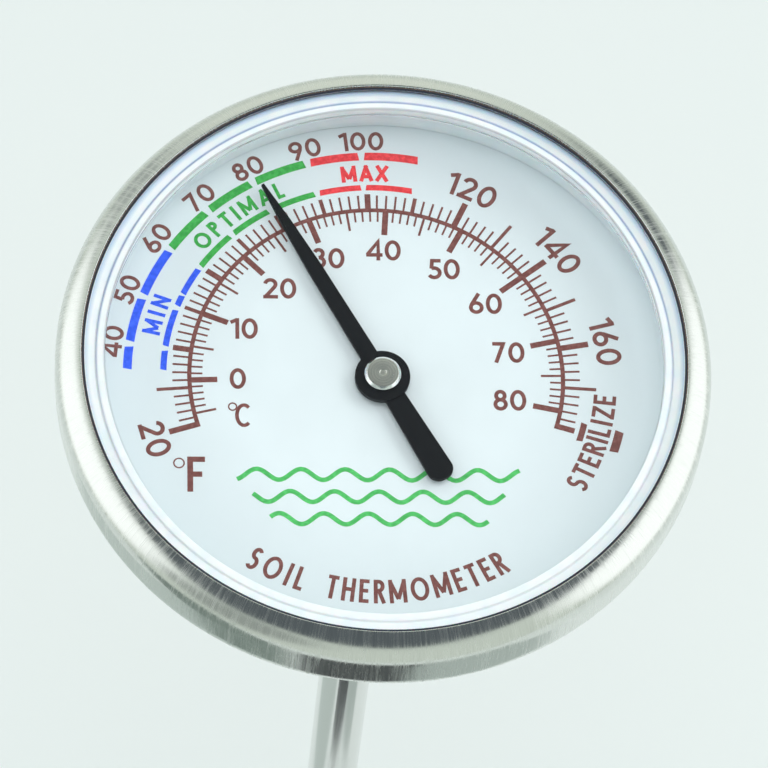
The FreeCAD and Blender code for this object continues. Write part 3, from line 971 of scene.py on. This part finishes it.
def make_card(name, corners, material):
    """A card on the floor, out of the picture, that only the steel's mirror image shows."""
    low = CAD_BOX[0].z / MM
    card = new_piece(name, [(x, y, low) for x, y in corners], [range(len(corners))], material)
    card.visible_camera = False
    card.visible_diffuse = False
    card.visible_shadow = False


def direction(azimuth, elevation):
    """Unit vector; azimuth runs clockwise from +Y as seen from above, both in degrees."""
    around, up = math.radians(azimuth), math.radians(elevation)
    return Vector((math.sin(around) * math.cos(up), math.cos(around) * math.cos(up), math.sin(up)))


WALLS = (0.68, 0.75, 0.69, 1.0)     # light of the studio's walls, and of the zones in them
WHITE = (1.36, 1.41, 1.42, 1.0)
PALE = (0.82, 0.88, 0.8, 1.0)
GAP = (0.42, 0.46, 0.45, 1.0)
GREY = (0.36, 0.4, 0.38, 1.0)
DARK = (0.11, 0.13, 0.145, 1.0)
# Azimuth and elevation of a zone's middle, the degrees from it where the zone is whole and where it ends.
# A later zone covers an earlier one.
ZONES = (
    (-82, 14, 28, 46, WHITE),
    (88, 14, 32, 48, WHITE),
    (0, 14, 12, 26, PALE),
    (-30, 25, 4, 13, GAP),
    (-30, 0, 4, 13, GAP),
    (36, 30, 4, 11, GREY),
    (36, 8, 7, 16, GREY),
    (37, 22, 6, 12, DARK),
    (-142, 10, 12, 28, GREY),
    (180, 75, 28, 40, DARK),
    (180, 52, 18, 28, DARK),
    (142, 56, 12, 22, DARK),
    (-142, 54, 14, 24, DARK),
    (105, 66, 8, 18, DARK),
    (-105, 66, 8, 18, DARK),
    (5, 64, 8, 14, DARK),
)


def zone_mask(tree, where, azimuth, elevation, whole, end):
    """How far a direction belongs to a zone: 1 within whole degrees of its middle, 0 beyond end."""
    dot = tree.nodes.new("ShaderNodeVectorMath")
    dot.operation = "DOT_PRODUCT"
    tree.links.new(where, dot.inputs[0])
    dot.inputs[1].default_value = direction(azimuth, elevation)
    edge = tree.nodes.new("ShaderNodeMapRange")
    edge.interpolation_type = "SMOOTHSTEP"
    tree.links.new(dot.outputs["Value"], edge.inputs["Value"])
    edge.inputs["From Min"].default_value = math.cos(math.radians(end))
    edge.inputs["From Max"].default_value = math.cos(math.radians(whole))
    return edge.outputs["Result"]


def make_world():
    """A pale studio: white panels left and right, a pale one opposite the camera, gaps, a dark ceiling."""
    world = bpy.data.worlds.new("studio")
    world.use_nodes = True
    bpy.context.scene.world = world
    tree = world.node_tree
    tree.nodes.clear()
    where = tree.nodes.new("ShaderNodeTexCoord").outputs["Generated"]
    tone = None
    for azimuth, elevation, whole, end, colour in ZONES:
        mix = tree.nodes.new("ShaderNodeMix")
        mix.data_type = "RGBA"
        tree.links.new(zone_mask(tree, where, azimuth, elevation, whole, end), mix.inputs["Factor"])
        if tone is None:
            mix.inputs["A"].default_value = WALLS
        else:
            tree.links.new(tone, mix.inputs["A"])
        mix.inputs["B"].default_value = colour
        tone = mix.outputs["Result"]
    glow = tree.nodes.new("ShaderNodeBackground")
    output = tree.nodes.new("ShaderNodeOutputWorld")
    tree.links.new(tone, glow.inputs["Color"])
    tree.links.new(glow.outputs[0], output.inputs[0])


def soft_light(name, azimuth, elevation, distance, size, power):
    """A round soft light that faces the dial, and that neither steel nor window mirrors."""
    light = bpy.data.lights.new(name, "AREA")
    light.shape = "DISK"
    light.size = size
    light.energy = power
    lamp = bpy.data.objects.new(name, light)
    target = Vector((0, 0, FACE * MM))
    lamp.location = target + direction(azimuth, elevation) * distance
    lamp.rotation_euler = (target - lamp.location).to_track_quat("-Z", "Y").to_euler()
    lamp.visible_glossy = False
    lamp.visible_transmission = False
    bpy.context.scene.collection.objects.link(lamp)


DISTANCE = 0.396                # camera to the dial
TILT = 26.17                    # camera off the dial's axis, towards six o'clock
SIDEWAYS = -7.7                 # and round towards the left
ROLL = 1.23
LENS = 263.6                    # focal length and width of the sensor
SENSOR = 36.0
AIM = Vector((-0.155, 0.124)) * MM  # where the dial's axis meets the picture, right and up of its middle
SIGHT_LIFT = 0.5 * MM           # the window lifts the dial by this much to the eye


def make_camera():
    """The camera, with the photograph's view of the dial."""
    tilt, roll = math.radians(TILT), math.radians(ROLL)
    sideways = math.radians(SIDEWAYS)
    towards = Vector((math.sin(tilt) * math.sin(sideways), -math.sin(tilt) * math.cos(sideways),
                      math.cos(tilt)))
    level_right = Vector((0, 1, 0)).cross(towards).normalized()
    level_up = towards.cross(level_right)
    right = math.cos(roll) * level_right - math.sin(roll) * level_up
    up = math.sin(roll) * level_right + math.cos(roll) * level_up
    data = bpy.data.cameras.new("camera")
    data.lens = LENS
    data.sensor_width = SENSOR
    data.clip_start = 0.01
    camera = bpy.data.objects.new("camera", data)
    basis = [[right[row], up[row], towards[row]] for row in range(3)]
    dial = Vector((0, 0, FACE * MM + SIGHT_LIFT))
    place = dial + towards * DISTANCE - right * AIM.x - up * AIM.y
    camera.matrix_world = Matrix.Translation(place) @ Matrix(basis).to_4x4()
    bpy.context.scene.collection.objects.link(camera)
    bpy.context.scene.camera = camera


# ---------------------------------------------------------------- whole

def paint(material, *nodes):
    """Give carried-over CAD nodes a material."""
    for node in nodes:
        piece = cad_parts[node]
        piece.data.materials.clear()
        piece.data.materials.append(material)


def make_pieces():
    """The pieces shaped here: three take a CAD node's place, two are added."""
    make_bezel(brushed_steel("brushed_rim", rgb(226, 228, 223)))
    make_window(clear_window("clear_window"))
    make_skirt_core(milky_plastic("painted_light_skirt"))
    make_lip_seal(sealant("dark_gap_material"))
    make_hub_cap(turned_metal("turned_cap", rgb(246, 242, 230), pitch=0.2, depth=0.002, polished=CAP - BEVEL))


def paint_pieces():
    """Materials of the pieces that keep their CAD shape."""
    paint(brushed_steel("spun_back", rgb(214, 216, 212), across=False), "case_cup")
    paint(polished_steel("drawn_tube", rgb(220, 221, 218)), "stem_tube", "stem_tip")
    paint(turned_metal("turned_nut", rgb(206, 207, 204)), "calibration_nut")
    paint(turned_metal("spring_steel", rgb(180, 182, 184)), "coil_anchor", "retaining_collar",
          "friction_washer", "spindle")
    paint(turned_metal("turned_brass", rgb(205, 170, 100)), "lower_bush", "middle_bush", "upper_bush",
          "coil_arbor")
    paint(brushed_steel("bimetal_strip", rgb(196, 168, 128), streak=0.2, across=False), "bimetal_coil")
    paint(soft_plastic("black_rubber", rgb(32, 32, 33)), "neck_seal", "crystal_gasket")
    paint(soft_plastic("white_moulding", rgb(232, 232, 228)), "dial_spacer")
    paint(enamel("dial_enamel", rgb(235, 244, 247)), "dial_plate")
    paint(black_enamel("pointer_black"), "pointer")


def make_print():
    """Everything that is printed on the dial."""
    brown = ink("ink_brown", rgb(116, 64, 58))
    blue = ink("ink_blue", rgb(38, 84, 232))
    green = ink("ink_green", rgb(50, 160, 64))
    light_green = ink("ink_light_green", rgb(70, 180, 90))
    red = ink("ink_red", rgb(226, 52, 58))
    make_scales(brown)
    make_numerals(brown)
    make_units(brown)
    make_zones(blue, green, red, brown)
    make_title(brown)
    make_emblem(light_green)


def make_studio():
    """Floor, cards, walls, lamps and camera."""
    make_floor(backdrop("pale_paper", rgb(243, 248, 247)))
    make_card("dark_card", [(-68, -190), (40, -190), (12, -42), (-20, -37)],
              backdrop("dark_paper", rgb(80, 83, 85)))
    make_card("grey_card", [(-300, -300), (-85, -195), (-27, -48), (-60, -45), (-300, -120)],
              backdrop("grey_paper", rgb(136, 148, 143)))
    make_card("right_card", [(12, -42), (40, -190), (130, -190), (80, -44), (34, -22)],
              backdrop("ash_paper", rgb(186, 195, 192)))
    make_card("left_card",
              [(-27, -48), (-60, -45), (-110, -60), (-118, 30), (-84, 44), (-38, 20), (-28, -18)],
              backdrop("silver_paper", rgb(206, 215, 212)))
    make_world()
    soft_light("key", azimuth=75, elevation=52, distance=1.2, size=0.8, power=2.8)
    soft_light("dial_fill", azimuth=180, elevation=84, distance=0.35, size=0.24, power=0.46)
    soft_light("front_fill", azimuth=190, elevation=50, distance=0.8, size=0.7, power=0.65)
    make_camera()
    bpy.context.scene.view_settings.view_transform = "Standard"


make_pieces()
paint_pieces()
make_print()
make_studio()
